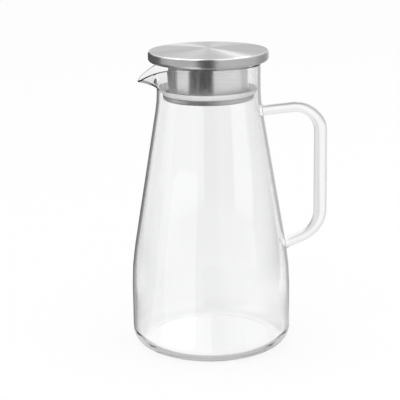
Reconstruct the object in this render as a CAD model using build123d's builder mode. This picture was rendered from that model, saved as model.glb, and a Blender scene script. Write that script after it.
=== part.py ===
"""Glass pitcher with a lift-out steel lid.

Millimetres, +Z up. The origin is the centre of the flat base, on the axis of the pitcher.
The spout points along -X and the handle stands out along +X.
"""

import os
from math import acos, atan2, cos, degrees, radians, sin, sqrt, tan

from build123d import *

# Glass body: flat base, upright lower wall, straight cone, plain neck
body_radius = 69.0
base_corner = 14.0
base_thickness = 4.0
wall = 2.3
bend_height = 70.0
bend_radius = 215.0
cone_height = 146.0
neck_radius = 44.3
shoulder_radius = 105.0
neck_straight = 1.2
neck_height = 21.5

# Spout: the rim is pulled out to a beak and dips towards its tip
spout_pull = 16.5
spout_drop = 13.1
spout_lip = 1.6
nose_radius = 8.3
dip_run = 34.0
flare_knee = 0.5
sections_a_side = 9
section_crowding = 1.4
spread_margin = 2.0
seam_tolerance = 0.01

# Handle: solid bar bent to a D, with flared ends fused to the cone
handle_standoff = 29.7
handle_drop = 8.6
handle_foot_rise = 25.4
upper_tilt = 3.5
lower_tilt = 20.0
upper_bend = 23.0
lower_bend = 25.0
grip_depth = 11.4
grip_width = 11.8
arm_depth = 8.7
arm_width = 10.6
pad_depth = 11.6
pad_width = 12.6
pad_length = 4.0
fused_gap = 0.05

# Lid: pressed cap, base plate, strainer collar, retaining ring and lip seal
lid_overhang = 6.9
lid_gap = 1.8
lid_edge_height = 9.0
lid_crown = 1.7
lid_top_round = 1.8
lid_under_round = 3.2
lid_lip = 1.6
lid_sheet = 0.8
plate_sheet = 0.8
plate_play = 0.2
collar_sheet = 0.7
plug_depth = 30.4
ring_gap = 3.1
ring_width = 4.7
ring_height = 4.3
ring_sheet = 0.7
ring_top_round = 0.9
ring_under_round = 2.4
weld_gap = 0.05
slot_count = 7
slot_pitch = 8.6
slot_width = 2.2
slot_height = 15.5
slot_rise = 12.6
seal_clearance = 0.3
seal_play = 0.3
seal_seat_gap = 0.1
seal_height = 5.0
seal_foot_height = 2.6
seal_foot_inset = 0.6
seal_groove_height = 1.7
seal_groove_inset = 1.3
seal_lip_thickness = 1.3
seal_land = 1.0
seal_edge_round = 0.3

# Heights and radii that follow from the driving sizes
cone_angle = atan2(body_radius - neck_radius, cone_height)
shoulder_height = bend_height + cone_height
neck_foot = shoulder_height + shoulder_radius * tan(cone_angle / 2) + neck_straight
rim_height = neck_foot + neck_height
bore_radius = neck_radius - wall
spout_reach = neck_radius + spout_pull
nose_centre = spout_reach - nose_radius
flank_turn = acos((neck_radius - nose_radius) / nose_centre)
nose_turn = atan2(nose_radius * sin(flank_turn), nose_centre + nose_radius * cos(flank_turn))
dip_start = spout_reach - dip_run
dip_radius = (dip_run**2 + spout_drop**2) / (2 * spout_drop)
spout_spread = max(degrees(acos(dip_start / neck_radius)), degrees(flank_turn)) + spread_margin
spout_heading = 180.0
handle_reach = body_radius + handle_standoff
handle_top = shoulder_height - handle_drop
handle_foot = bend_height + handle_foot_rise
lid_radius = neck_radius + lid_overhang
lid_floor = rim_height + lid_gap
plate_seat = lid_floor + lid_sheet
opening_radius = lid_radius - lid_under_round - lid_lip
plug_foot = rim_height - plug_depth
ring_radius = bore_radius - ring_gap
collar_radius = ring_radius - ring_width
ring_top = plug_foot + ring_height
seal_radius = bore_radius - seal_clearance


def radial_plane(heading):
    """Return the upright plane through the axis: local x points outward at the heading, local y up."""
    outward = radians(heading)
    return Plane(
        origin=(0, 0, 0),
        x_dir=(cos(outward), sin(outward), 0),
        z_dir=(sin(outward), -cos(outward), 0),
    )


def body_outline(inset, floor, corner):
    """Draw half the outline of the body, from the axis at the floor to the foot of the neck."""
    lowering = inset * tan(cone_angle / 2)
    FilletPolyline(
        (0, floor),
        (body_radius - inset, floor),
        (body_radius - inset, bend_height - lowering),
        (neck_radius - inset, shoulder_height - lowering),
        (neck_radius - inset, neck_foot),
        radius=[corner, bend_radius - inset, shoulder_radius + inset],
    )


def rim_reach(turn):
    """Return the outer radius of the rim at an angle from the spout: round nose, straight flanks, neck."""
    if turn < nose_turn:
        return nose_centre * cos(turn) + sqrt(nose_radius**2 - (nose_centre * sin(turn)) ** 2)
    if turn < flank_turn:
        return neck_radius / cos(flank_turn - turn)
    return neck_radius


def rim_section(turn_degrees):
    """Return the upright section of neck, flare and rounded rim at an angle from the spout."""
    turn = radians(abs(turn_degrees))
    reach = rim_reach(turn)
    past_start = max(0, reach * cos(turn) - dip_start)
    crest = rim_height - dip_radius + sqrt(dip_radius**2 - past_start**2)
    pull = reach - neck_radius
    half_lip = (wall + (spout_lip - wall) * pull / spout_pull) / 2
    lean = atan2(pull, (1 - flare_knee) * (crest - neck_foot))
    top = (reach - half_lip * cos(lean), crest)
    middle = (top[0] - half_lip * sin(lean), top[1] - half_lip * cos(lean))
    outer_end = (middle[0] + half_lip * cos(lean), middle[1] - half_lip * sin(lean))
    inner_end = (middle[0] - half_lip * cos(lean), middle[1] + half_lip * sin(lean))
    knee_height = neck_foot + flare_knee * (outer_end[1] - neck_foot)
    inner_knee_height = knee_height + wall * tan(lean / 2)
    with BuildSketch(radial_plane(spout_heading + turn_degrees)) as section:
        with BuildLine():
            Bezier((neck_radius, neck_foot), (neck_radius, knee_height), outer_end)
            ThreePointArc(outer_end, top, inner_end)
            Bezier(inner_end, (bore_radius, inner_knee_height), (bore_radius, neck_foot))
            Line((bore_radius, neck_foot), (neck_radius, neck_foot))
        make_face()
    return section.sketch


def section_turn(step):
    """Return the angle from the spout of one section of the loft, in steps that shrink towards the tip."""
    share = step / sections_a_side
    return spout_spread * share * abs(share) ** (section_crowding - 1)


def root_radius(corner_height, tilt):
    """Return the radius at which a tilted handle arm's centre line meets the cone."""
    slope = tan(radians(tilt))
    taper = tan(cone_angle)
    rise = shoulder_height - corner_height + handle_reach * slope
    return (neck_radius + rise * taper) / (1 + slope * taper)


def arm_end(corner_height, tilt):
    """Return the end of a handle arm's centre line, one wall thickness inside the glass."""
    radius = root_radius(corner_height, tilt) - wall
    return (radius, corner_height - (handle_reach - radius) * tan(radians(tilt)))


os.makedirs("parts", exist_ok=True)

# Plain round neck with a rounded rim, and the spout lofted round its front
with BuildPart() as neck:
    revolve(rim_section(spout_spread), axis=Axis.Z, revolution_arc=360 - 2 * spout_spread)
    steps = range(-sections_a_side, sections_a_side + 1)
    loft(sections=[rim_section(section_turn(step)) for step in steps])

# Base, lower wall, cone and shoulder
with BuildPart() as vessel:
    with BuildSketch(Plane.XZ):
        with BuildLine():
            body_outline(0, 0, base_corner)
            body_outline(wall, base_thickness, base_corner - wall)
            Line((0, 0), (0, base_thickness))
            Line((neck_radius, neck_foot), (bore_radius, neck_foot))
        make_face()
    revolve(axis=Axis.Z)

# Vessel and neck are one piece of glass, and their edges meet within the tolerance of the loft
with BuildPart() as glass_body:
    add(vessel.part.fuse(neck.part, tol=seam_tolerance))
glass_body.part.label = "glass_body"
export_step(glass_body.part, "parts/glass_body.step")

# Handle bar, thinner in the arms than in the grip, trimmed to the outside of the jug
with BuildPart() as handle:
    with BuildLine(Plane.XZ) as handle_line:
        FilletPolyline(
            arm_end(handle_top, upper_tilt),
            (handle_reach, handle_top),
            (handle_reach, handle_foot),
            arm_end(handle_foot, lower_tilt),
            radius=[upper_bend, lower_bend],
        )
    handle_path = handle_line.wire()
    upper_arm, upper_corner, grip, lower_corner, lower_arm = handle_path.order_edges()
    stations = [
        (upper_arm, 0, pad_depth, pad_width),
        (upper_arm, (wall + pad_length) / upper_arm.length, arm_depth, arm_width),
        (upper_corner, 0, arm_depth, arm_width),
        (grip, 0, grip_depth, grip_width),
        (lower_corner, 0, grip_depth, grip_width),
        (lower_arm, 0, arm_depth, arm_width),
        (lower_arm, 1 - (wall + pad_length) / lower_arm.length, arm_depth, arm_width),
        (lower_arm, 1, pad_depth, pad_width),
    ]
    for edge, share, depth, width in stations:
        with BuildSketch(Plane(origin=edge @ share, x_dir=(0, 1, 0), z_dir=edge % share)):
            Ellipse(width / 2, depth / 2)
    sweep(path=handle_path, multisection=True)
    with BuildSketch(Plane.XZ):
        with BuildLine():
            body_outline(-fused_gap, -fused_gap, base_corner)
            Line((0, -fused_gap), (0, neck_foot))
            Line((0, neck_foot), (neck_radius + fused_gap, neck_foot))
        make_face()
    revolve(axis=Axis.Z, mode=Mode.SUBTRACT)
handle.part.label = "handle"
export_step(handle.part, "parts/handle.step")

# Pressed cap with a low crown, an upright edge and a curled lower edge
with BuildPart() as lid_cap:
    edge_top = lid_floor + lid_edge_height
    with BuildSketch(Plane.XZ) as cap_profile:
        with BuildLine():
            ThreePointArc((-lid_radius, edge_top), (0, edge_top + lid_crown), (lid_radius, edge_top))
            Polyline(
                (lid_radius, edge_top),
                (lid_radius, lid_floor),
                (-lid_radius, lid_floor),
                (-lid_radius, edge_top),
            )
        make_face()
        fillet(cap_profile.vertices().group_by(Axis.Y)[-1], radius=lid_top_round)
        fillet(cap_profile.vertices().group_by(Axis.Y)[0], radius=lid_under_round)
        offset(amount=-lid_sheet, mode=Mode.SUBTRACT)
        with Locations((0, lid_floor)):
            Rectangle(2 * opening_radius, lid_sheet, align=(Align.CENTER, Align.MIN), mode=Mode.SUBTRACT)
        split(bisect_by=Plane.YZ, keep=Keep.TOP)
    revolve(axis=Axis.Z)
lid_cap.part.label = "lid_cap"
export_step(lid_cap.part, "parts/lid_cap.step")

# Flat plate that lies on the curled edge and closes the cap from below
with BuildPart() as lid_base_plate:
    with BuildSketch(Plane.XY.offset(plate_seat)):
        Circle(opening_radius + lid_lip - plate_play)
    extrude(amount=plate_sheet)
lid_base_plate.part.label = "lid_base_plate"
export_step(lid_base_plate.part, "parts/lid_base_plate.step")

# Collar that hangs from the plate into the neck, slotted on the side of the spout
with BuildPart() as strainer_collar:
    with BuildSketch(Plane.XY.offset(plug_foot)):
        Circle(collar_radius)
        Circle(collar_radius - collar_sheet, mode=Mode.SUBTRACT)
    extrude(amount=plate_seat - plug_foot)
    slot_middle = plug_foot + slot_rise + slot_height / 2
    for number in range(slot_count):
        heading = radians(spout_heading + slot_pitch * (number - (slot_count - 1) / 2))
        outward = (cos(heading), sin(heading), 0)
        with BuildSketch(Plane(origin=(0, 0, slot_middle), x_dir=(0, 0, 1), z_dir=outward)):
            SlotOverall(slot_height, slot_width)
        extrude(amount=ring_radius, mode=Mode.SUBTRACT)
strainer_collar.part.label = "strainer_collar"
export_step(strainer_collar.part, "parts/strainer_collar.step")

# Rolled channel ring round the foot of the collar
with BuildPart() as retaining_ring:
    ring_inside = collar_radius + weld_gap
    with BuildSketch(Plane.XZ) as ring_profile:
        with Locations((ring_inside, plug_foot)):
            Rectangle(ring_radius - ring_inside, ring_height, align=(Align.MIN, Align.MIN))
        fillet(ring_profile.vertices().group_by(Axis.Y)[-1].sort_by(Axis.X)[-1], radius=ring_top_round)
        fillet(ring_profile.vertices().group_by(Axis.Y)[0].sort_by(Axis.X)[-1], radius=ring_under_round)
        offset(amount=-ring_sheet, mode=Mode.SUBTRACT)
        with Locations((ring_inside, plug_foot + ring_sheet)):
            Rectangle(
                ring_sheet,
                ring_height - 2 * ring_sheet,
                align=(Align.MIN, Align.MIN),
                mode=Mode.SUBTRACT,
            )
    revolve(axis=Axis.Z)
retaining_ring.part.label = "retaining_ring"
export_step(retaining_ring.part, "parts/retaining_ring.step")

# Soft ring that sits on the retaining ring, with a lip flaring out and up to the bore
with BuildPart() as lip_seal:
    seal_inside = collar_radius + seal_play
    seal_foot = ring_top + seal_seat_gap
    seal_top = seal_foot + seal_height
    with BuildSketch(Plane.XZ) as seal_profile:
        with BuildLine():
            Polyline(
                (seal_inside, seal_foot),
                (ring_radius - seal_foot_inset, seal_foot),
                (seal_radius, seal_top - seal_land),
                (seal_radius, seal_top),
                (seal_radius - seal_lip_thickness, seal_top),
                (seal_inside + seal_groove_inset, seal_foot + seal_groove_height),
                (seal_inside, seal_foot + seal_foot_height),
                close=True,
            )
        make_face()
        fillet(seal_profile.vertices(), radius=seal_edge_round)
    revolve(axis=Axis.Z)
lip_seal.part.label = "lip_seal"
export_step(lip_seal.part, "parts/lip_seal.step")
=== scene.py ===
"""Looks of a glass pitcher with a lift-out steel lid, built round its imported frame.

Metres, +Z up, on the frame's own axes: the spout points along -X and the handle stands out along +X.
"""

import logging
import math
from collections.abc import Sequence
from dataclasses import dataclass
from enum import Enum

import bpy
from mathutils import Matrix, Vector


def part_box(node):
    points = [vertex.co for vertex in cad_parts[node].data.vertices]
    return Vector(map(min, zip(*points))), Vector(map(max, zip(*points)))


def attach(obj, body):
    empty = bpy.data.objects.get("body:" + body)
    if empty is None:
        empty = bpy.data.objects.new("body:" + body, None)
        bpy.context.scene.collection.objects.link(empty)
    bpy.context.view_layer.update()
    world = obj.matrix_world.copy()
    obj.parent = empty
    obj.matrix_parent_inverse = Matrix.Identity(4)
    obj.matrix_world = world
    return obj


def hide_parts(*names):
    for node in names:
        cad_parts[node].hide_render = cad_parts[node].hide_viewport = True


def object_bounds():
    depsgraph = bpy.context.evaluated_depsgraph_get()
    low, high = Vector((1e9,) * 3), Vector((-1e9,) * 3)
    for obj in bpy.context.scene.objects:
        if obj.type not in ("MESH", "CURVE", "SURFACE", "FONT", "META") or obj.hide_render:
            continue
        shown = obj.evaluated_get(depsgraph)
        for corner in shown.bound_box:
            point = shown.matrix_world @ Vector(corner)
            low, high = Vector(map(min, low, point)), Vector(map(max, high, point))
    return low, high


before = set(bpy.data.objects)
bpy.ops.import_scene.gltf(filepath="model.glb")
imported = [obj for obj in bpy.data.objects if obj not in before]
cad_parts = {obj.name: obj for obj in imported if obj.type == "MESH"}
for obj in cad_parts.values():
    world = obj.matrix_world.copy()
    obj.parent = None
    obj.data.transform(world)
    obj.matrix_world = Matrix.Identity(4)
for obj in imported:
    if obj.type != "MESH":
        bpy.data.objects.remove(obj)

CAD_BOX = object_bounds()
MM = 0.001
ARC_STEP = math.radians(5)
SUPPORT_GAP = 0.5 * MM
WELD_DISTANCE = 0.001 * MM
SHARP_EDGE = math.radians(35)
BEND_POINTS = 24
SLOT_END_POINTS = 8
LINE_DETAIL = 3.0
LINE_ROUGHNESS = 0.6
LINE_START = 0.3
LINE_END = 0.7

Colour = tuple[float, float, float, float]
Place = tuple[float, float, float]

log = logging.getLogger("pitcher")


class Body(Enum):
    """The bodies of the frame that the pieces ride on."""

    PITCHER = "pitcher"
    SEAL = "seal"
    LID = "lid"


class Slot(Enum):
    """The record's material slots."""

    GLASS = "clear_glass"
    STEEL = "brushed_steel"
    SILICONE = "white_silicone"


class Socket(Enum):
    """The kinds of socket on the node groups."""

    GEOMETRY = "NodeSocketGeometry"
    NUMBER = "NodeSocketFloat"
    COUNT = "NodeSocketInt"
    VECTOR = "NodeSocketVector"
    OBJECT = "NodeSocketObject"
    MATERIAL = "NodeSocketMaterial"


@dataclass(frozen=True)
class Field:
    """A node's output that takes part in plain arithmetic: every operation adds a Math node."""

    graph: "Graph"
    socket: bpy.types.NodeSocket

    def math(self, operation: str, *others: "Field | float") -> "Field":
        """Add a Math node.

        Args:
            operation: The node's operation, in Blender's own word.
            others: The operands after this one.

        Returns:
            The node's result.
        """
        return self.graph.math(operation, self, *others)

    def __add__(self, other: "Field | float") -> "Field":
        """Return the sum."""
        return self.math("ADD", other)

    def __sub__(self, other: "Field | float") -> "Field":
        """Return the difference."""
        return self.math("SUBTRACT", other)

    def __rsub__(self, other: float) -> "Field":
        """Return a plain number less this field."""
        return self.graph.math("SUBTRACT", other, self)

    def __mul__(self, other: "Field | float") -> "Field":
        """Return the product."""
        return self.math("MULTIPLY", other)

    def __truediv__(self, other: "Field | float") -> "Field":
        """Return the quotient, which is zero where the divisor is."""
        return self.math("DIVIDE", other)

    def __lt__(self, other: "Field | float") -> "Field":
        """Return one where this is less than the other, and zero elsewhere."""
        return self.math("LESS_THAN", other)

    def __gt__(self, other: "Field | float") -> "Field":
        """Return one where this is greater than the other, and zero elsewhere."""
        return self.math("GREATER_THAN", other)

    __radd__ = __add__
    __rmul__ = __mul__

    def squared(self) -> "Field":
        """Return the square."""
        return self * self

    def root(self) -> "Field":
        """Return the square root, which is zero below zero."""
        return self.math("SQRT")

    def sine(self) -> "Field":
        """Return the sine of an angle in radians."""
        return self.math("SINE")

    def cosine(self) -> "Field":
        """Return the cosine of an angle in radians."""
        return self.math("COSINE")

    def at_least(self, floor: "Field | float") -> "Field":
        """Return this or the floor, whichever is more."""
        return self.math("MAXIMUM", floor)

    def at_most(self, ceiling: "Field | float") -> "Field":
        """Return this or the ceiling, whichever is less."""
        return self.math("MINIMUM", ceiling)


Plug = Field | float | int | tuple | Vector | bpy.types.ID | None
Plugs = dict[str | int, Plug]


class Graph:
    """A node tree under construction, whose values are fields."""

    def __init__(self, tree: bpy.types.NodeTree) -> None:
        """Take a tree to add nodes to."""
        self.tree = tree

    def plug(self, value: Plug, socket: bpy.types.NodeSocket) -> None:
        """Link a field to a socket, or set a plain value on it."""
        if isinstance(value, Field):
            self.tree.links.new(value.socket, socket)
        else:
            socket.default_value = value

    def add(self, kind: str, inputs: Plugs, **settings: object) -> bpy.types.Node:
        """Add a node.

        Args:
            kind: The node's type.
            inputs: Values and fields for its inputs, by name or number.
            settings: The node's own options.

        Returns:
            The new node.
        """
        node = self.tree.nodes.new(kind)
        for name, value in settings.items():
            setattr(node, name, value)
        for key, value in inputs.items():
            self.plug(value, node.inputs[key])
        return node

    def get(self, kind: str, inputs: Plugs, output: str | int = 0, **settings: object) -> Field:
        """Add a node for the sake of one output.

        Args:
            kind: The node's type.
            inputs: Values and fields for its inputs, by name or number.
            output: The output's name or number.
            settings: The node's own options.

        Returns:
            That output.
        """
        return Field(self, self.add(kind, inputs, **settings).outputs[output])

    def pick(self, node: bpy.types.Node, *names: str) -> list[Field]:
        """Return the named outputs of a node."""
        return [Field(self, node.outputs[name]) for name in names]

    def math(self, operation: str, *values: Field | float) -> Field:
        """Add a Math node on the values, and return its result."""
        return self.get("ShaderNodeMath", dict(enumerate(values)), operation=operation)

    def blend(self, low: Field | float, high: Field | float, share: Field) -> Field:
        """Return low where share is zero and high where it is one."""
        return low + (high - low) * share

    def ramp(self, value: Field, start: Plug, end: Plug, low: Plug = 0.0, high: Plug = 1.0) -> Field:
        """Return a value that eases from low to high as a field goes from start to end.

        Args:
            value: The field that drives it.
            start: Where it leaves low.
            end: Where it reaches high.
            low: The result before the start.
            high: The result after the end.

        Returns:
            The eased value.
        """
        limits = {"Value": value, "From Min": start, "From Max": end, "To Min": low, "To Max": high}
        return self.get("ShaderNodeMapRange", limits, interpolation_type="SMOOTHSTEP")

    def split(self, vector: Field) -> tuple[Field, Field, Field]:
        """Return the three parts of a vector."""
        node = self.add("ShaderNodeSeparateXYZ", {"Vector": vector})
        return tuple(Field(self, output) for output in node.outputs)

    def vector(self, x: Plug, y: Plug, z: Plug) -> Field:
        """Return a vector made of three parts."""
        return self.get("ShaderNodeCombineXYZ", {"X": x, "Y": y, "Z": z})

    def mix_colour(self, low: Plug, high: Plug, share: Field) -> Field:
        """Return a colour between two others.

        Args:
            low: The colour where share is zero.
            high: The colour where share is one.
            share: The field that mixes them.

        Returns:
            The mixed colour.
        """
        node = self.add("ShaderNodeMix", {"Factor": share}, data_type="RGBA")
        first, second = [socket for socket in node.inputs if socket.type == "RGBA"]
        self.plug(low, first)
        self.plug(high, second)
        return Field(self, next(socket for socket in node.outputs if socket.type == "RGBA"))


class Group(Graph):
    """A node group under construction, with named inputs and outputs."""

    def __init__(self, name: str, kind: str, inputs: dict[str, Socket], outputs: dict[str, Socket]) -> None:
        """Start a group.

        Args:
            name: The group's name.
            kind: The type of its tree.
            inputs: Its inputs and their kinds.
            outputs: Its outputs and their kinds.
        """
        super().__init__(bpy.data.node_groups.new(name, kind))
        for direction, sockets in (("OUTPUT", outputs), ("INPUT", inputs)):
            for label, socket in sockets.items():
                self.tree.interface.new_socket(label, in_out=direction, socket_type=socket.value)
        self.entry = self.tree.nodes.new("NodeGroupInput")
        self.exit = self.tree.nodes.new("NodeGroupOutput")

    def given(self, name: str) -> Field:
        """Return the field of a named input."""
        return Field(self, self.entry.outputs[name])

    def put_out(self, name: str, value: Field) -> None:
        """Let a named output give a value."""
        self.plug(value, self.exit.inputs[name])


class Effect(Group):
    """A group of shader nodes whose outputs are numbers that change from place to place."""

    def __init__(self, name: str, inputs: dict[str, Socket], outputs: Sequence[str]) -> None:
        """Start the group with its named inputs and outputs."""
        super().__init__(name, "ShaderNodeTree", inputs, dict.fromkeys(outputs, Socket.NUMBER))


class Shaper(Group):
    """A geometry tree with named inputs, which turns one geometry into another."""

    def __init__(self, name: str, inputs: dict[str, Socket]) -> None:
        """Start a tree.

        Args:
            name: The tree's name.
            inputs: The inputs besides the geometry and the material, and their kinds.
        """
        shape = {"Geometry": Socket.GEOMETRY}
        super().__init__(name, "GeometryNodeTree", {**shape, **inputs, "Material": Socket.MATERIAL}, shape)
        self.tree.is_modifier = True

    def close(self, geometry: Field) -> None:
        """End the tree on a geometry: realize its instances and set the material."""
        real = self.get("GeometryNodeRealizeInstances", {"Geometry": geometry})
        finish = {"Geometry": real, "Material": self.given("Material")}
        self.put_out("Geometry", self.get("GeometryNodeSetMaterial", finish))

    def smooth(self, geometry: Field) -> Field:
        """Return a mesh shaded smooth, with the edges that turn sharply kept crisp."""
        turn = self.get("GeometryNodeInputMeshEdgeAngle", {}, "Unsigned Angle")
        faces = self.get("GeometryNodeSetShadeSmooth", {"Geometry": geometry})
        edges = {"Geometry": faces, "Shade Smooth": turn < SHARP_EDGE}
        return self.get("GeometryNodeSetShadeSmooth", edges, domain="EDGE")

    def cut(self, mesh: Field, cutter: Field) -> Field:
        """Return a mesh less what lies inside another."""
        pair = {"Mesh 1": mesh, "Mesh 2": cutter}
        return self.get("GeometryNodeMeshBoolean", pair, "Mesh", operation="DIFFERENCE", solver="EXACT")

    def put_on(self, obj: bpy.types.Object, values: dict[str, object]) -> None:
        """Add the tree to an object as a modifier, with values for its named inputs."""
        modifier = obj.modifiers.new(self.tree.name, "NODES")
        modifier.node_group = self.tree
        for item in self.tree.interface.items_tree:
            if item.name in values:
                modifier[item.identifier] = values[item.name]


@dataclass(frozen=True)
class Corner:
    """A corner of a half profile, rounded by an arc if it has a fillet."""

    radius: float
    height: float
    fillet: float = 0.0

    @property
    def spot(self) -> Vector:
        """The corner's place in the profile's own plane."""
        return Vector((self.radius, self.height))

    def arc(self, before: "Corner", after: "Corner") -> list[Vector]:
        """Draw the corner.

        Args:
            before: The corner that the profile comes from.
            after: The corner that it goes on to.

        Returns:
            The corner itself, or points along its arc with one more just before and just after.
        """
        if not self.fillet:
            return [self.spot]
        back = (before.spot - self.spot).normalized()
        ahead = (after.spot - self.spot).normalized()
        half_angle = back.angle(ahead) / 2
        reach = self.fillet / math.tan(half_angle)
        centre = self.spot + (back + ahead).normalized() * self.fillet / math.sin(half_angle)
        start = self.spot + back * reach - centre
        turn = math.copysign(math.pi - 2 * half_angle, -back.cross(ahead))
        steps = max(2, math.ceil(abs(turn) / ARC_STEP))
        bend = [centre + Matrix.Rotation(turn * step / steps, 2) @ start for step in range(steps + 1)]
        return [bend[0] + back * SUPPORT_GAP, *bend, bend[-1] + ahead * SUPPORT_GAP]


def draw_profile(corners: Sequence[Corner], closed: bool) -> list[Vector]:
    """Draw a half profile of a turned piece.

    Args:
        corners: Its corners in order, going up the outside and down the inside.
        closed: Whether it ends where it started, as on a ring.

    Returns:
        Its points, as radius and height.
    """
    points: list[Vector] = []
    for number, corner in enumerate(corners):
        points += corner.arc(corners[number - 1], corners[(number + 1) % len(corners)])
    return points + points[:1] if closed else points


def link_object(name: str, data: bpy.types.ID | None) -> bpy.types.Object:
    """Make an object of some data, at the origin, and put it in the scene."""
    obj = bpy.data.objects.new(name, data)
    bpy.context.scene.collection.objects.link(obj)
    return obj


def make_curve(name: str, points: Sequence[Vector]) -> bpy.types.Object:
    """Make a curve of straight runs in the upright plane through the axis.

    Args:
        name: The object's name.
        points: Radius and height of each point.

    Returns:
        The curve object.
    """
    curve = bpy.data.curves.new(name, "CURVE")
    curve.dimensions = "3D"
    line = curve.splines.new("POLY")
    line.points.add(len(points) - 1)
    for spot, point in zip(line.points, points):
        spot.co = (point.x, 0, point.y, 1)
    return link_object(name, curve)


@dataclass(frozen=True)
class Piece:
    """A finished piece by its name, with the node that it stands for, its body and its material slot."""

    name: str
    node: str
    body: Body
    slot: Slot

    @property
    def box(self) -> tuple[Vector, Vector]:
        """The lowest and the highest corner of the node."""
        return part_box(self.node)

    def hand_over(self, source: bpy.types.Object) -> None:
        """Turn an object with geometry trees into a plain mesh, and let it stand for the node.

        Args:
            source: The object with its modifiers, which is removed.
        """
        depsgraph = bpy.context.evaluated_depsgraph_get()
        mesh = bpy.data.meshes.new_from_object(source.evaluated_get(depsgraph), depsgraph=depsgraph)
        mesh.name = self.name
        # The trees leave an empty first slot.
        mesh.materials.pop(index=0)
        bpy.data.objects.remove(source)
        piece = link_object(self.name, mesh)
        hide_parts(self.node)
        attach(piece, self.body.value)
        faces = len(mesh.polygons)
        log.info("%s stands for %s on %s, %d faces", self.name, self.node, self.body.value, faces)


JUG = Piece("jug_glass", "glass_body", Body.PITCHER, Slot.GLASS)
HANDLE = Piece("handle_rod", "handle", Body.PITCHER, Slot.GLASS)
CAP = Piece("cap_shell", "lid_cap", Body.LID, Slot.STEEL)
PLATE = Piece("cap_floor", "lid_base_plate", Body.LID, Slot.STEEL)
COLLAR = Piece("strainer_tube", "strainer_collar", Body.LID, Slot.STEEL)
RING = Piece("channel_ring", "retaining_ring", Body.LID, Slot.STEEL)
SEAL = Piece("seal_lip", "lip_seal", Body.SEAL, Slot.SILICONE)


def build_lathe() -> Shaper:
    """Build the tree that turns a half profile round the axis.

    Returns:
        The tree. Evenness is one for equal steps, and less to crowd them towards the heading of the spout.
    """
    lathe = Shaper("Lathe", {"Segments": Socket.COUNT, "Evenness": Socket.NUMBER})
    profile, segments = lathe.given("Geometry"), lathe.given("Segments")
    evenness = lathe.given("Evenness")
    size = {"Geometry": profile}
    stations = lathe.get("GeometryNodeAttributeDomainSize", size, "Point Count", component="CURVE")
    around = segments + 1
    sheet = lathe.get("GeometryNodeMeshGrid", {"Vertices X": stations, "Vertices Y": around}, "Mesh")
    index = lathe.get("GeometryNodeInputIndex", {})
    station = (index / around).math("FLOOR")
    share = (index - station * around) * 2 / segments - 1
    heading = math.pi + math.pi * (evenness * share + (1 - evenness) * share * share * share)
    place = lathe.get("GeometryNodeInputPosition", {})
    sample = {"Geometry": profile, "Value": place, "Index": station}
    spot = lathe.get("GeometryNodeSampleIndex", sample, data_type="FLOAT_VECTOR", domain="POINT")
    radius, _, height = lathe.split(spot)
    turned = lathe.vector(radius * heading.cosine(), radius * heading.sine(), height)
    shell = lathe.get("GeometryNodeSetPosition", {"Geometry": sheet, "Position": turned})
    welded = lathe.get("GeometryNodeMergeByDistance", {"Geometry": shell, "Distance": WELD_DISTANCE})
    bare = lathe.get("GeometryNodeInputMeshEdgeNeighbors", {}, "Face Count") < 1
    loose = {"Geometry": welded, "Selection": bare}
    clean = lathe.get("GeometryNodeDeleteGeometry", loose, domain="EDGE", mode="EDGE_FACE")
    outward = lathe.get("GeometryNodeFlipFaces", {"Mesh": clean})
    lathe.close(lathe.smooth(outward))
    return lathe


@dataclass(frozen=True)
class Turner:
    """The lathe that the round pieces are turned on."""

    lathe: Shaper
    segments: int = 192

    def profile(self, name: str, corners: Sequence[Corner], closed: bool, finish: bpy.types.Material,
                segments: int = 0, evenness: float = 1.0) -> bpy.types.Object:
        """Set up a turned piece.

        Args:
            name: The name of its profile curve.
            corners: The corners of its half profile.
            closed: Whether the profile ends where it started.
            finish: Its material.
            segments: Steps round the axis, or zero for the usual number.
            evenness: One for equal steps.

        Returns:
            The profile curve with the lathe on it.
        """
        curve = make_curve(name, draw_profile(corners, closed))
        steps = segments or self.segments
        self.lathe.put_on(curve, {"Segments": steps, "Evenness": evenness, "Material": finish})
        return curve


class Surface(Graph):
    """A material under construction."""

    def __init__(self, name: str) -> None:
        """Start a material with an empty node tree."""
        self.material = bpy.data.materials.new(name)
        self.material.use_nodes = True
        self.material.node_tree.nodes.clear()
        super().__init__(self.material.node_tree)

    def group(self, tree: bpy.types.NodeTree, values: Plugs) -> Field:
        """Place a node group with its values, and return its first output."""
        return self.get("ShaderNodeGroup", values, node_tree=tree)

    def show(self, shader: Field) -> bpy.types.Material:
        """Let the material show a shader, and return the material."""
        self.add("ShaderNodeOutputMaterial", {"Surface": shader})
        return self.material


def build_unevenness() -> bpy.types.NodeTree:
    """Build the group of slow waves on a surface, as on blown glass and moulded silicone.

    Returns:
        The group, with the height of the waves as its output.
    """
    effect = Effect("Unevenness", {"Scale": Socket.NUMBER, "Stretch": Socket.NUMBER}, ["Height"])
    x, y, z = effect.split(effect.get("ShaderNodeTexCoord", {}, "Object"))
    place = effect.vector(x, y, z * effect.given("Stretch"))
    waves = {"Vector": place, "Scale": effect.given("Scale"), "Detail": 1.0}
    effect.put_out("Height", effect.get("ShaderNodeTexNoise", waves))
    return effect.tree


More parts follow.
